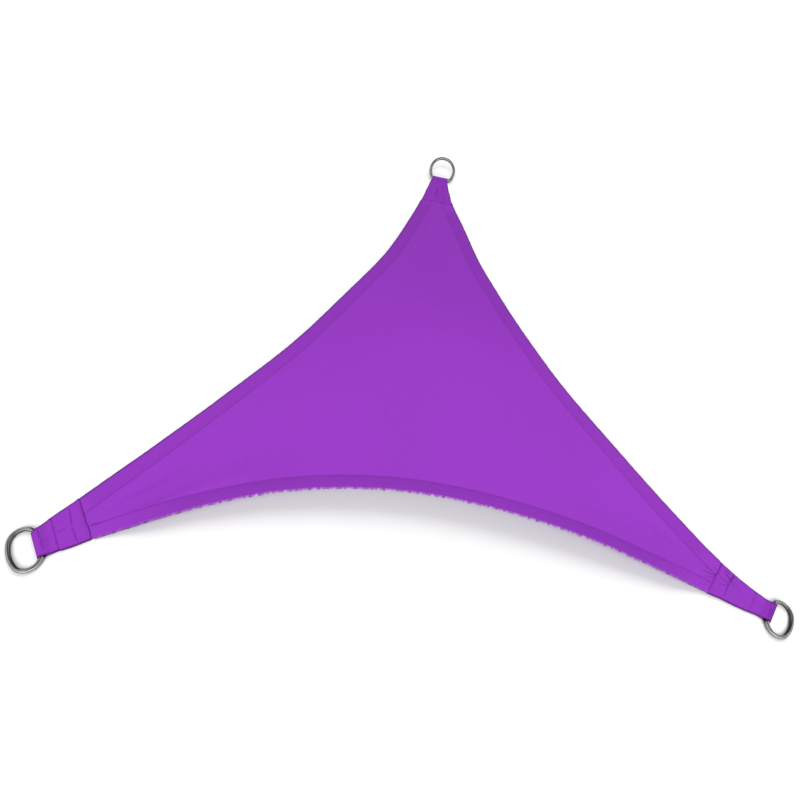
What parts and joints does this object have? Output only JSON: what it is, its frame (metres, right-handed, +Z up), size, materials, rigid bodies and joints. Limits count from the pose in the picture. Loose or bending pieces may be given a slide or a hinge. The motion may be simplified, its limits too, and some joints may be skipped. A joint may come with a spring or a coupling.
{
  "type": "shade sail",
  "caption": "Triangular shade sail of plain cloth with inward-curved hemmed edges and a steel D-ring held in a folded strap at every corner, laid out with its middle gently arched.",
  "frame": {"origin": "the middle of the sail's box in plan, on the surface that it lies on", "axes": "+X along the front edge from the left corner to the right one, +Y from the front edge to the back corner, +Z up out of the cloth's upper side"},
  "size_m": [2.0028, 1.7586, 0.0985],
  "materials": {
    "sail_cloth": "matte",
    "corner_cloth": "matte",
    "ring_steel": "polished"
  },
  "bodies": {
    "root": {"sail": "sail_cloth", "corner_left": "corner_cloth", "corner_right": "corner_cloth", "corner_back": "corner_cloth", "ring_left": "ring_steel", "ring_right": "ring_steel", "ring_back": "ring_steel"}
  },
  "joints": []
}
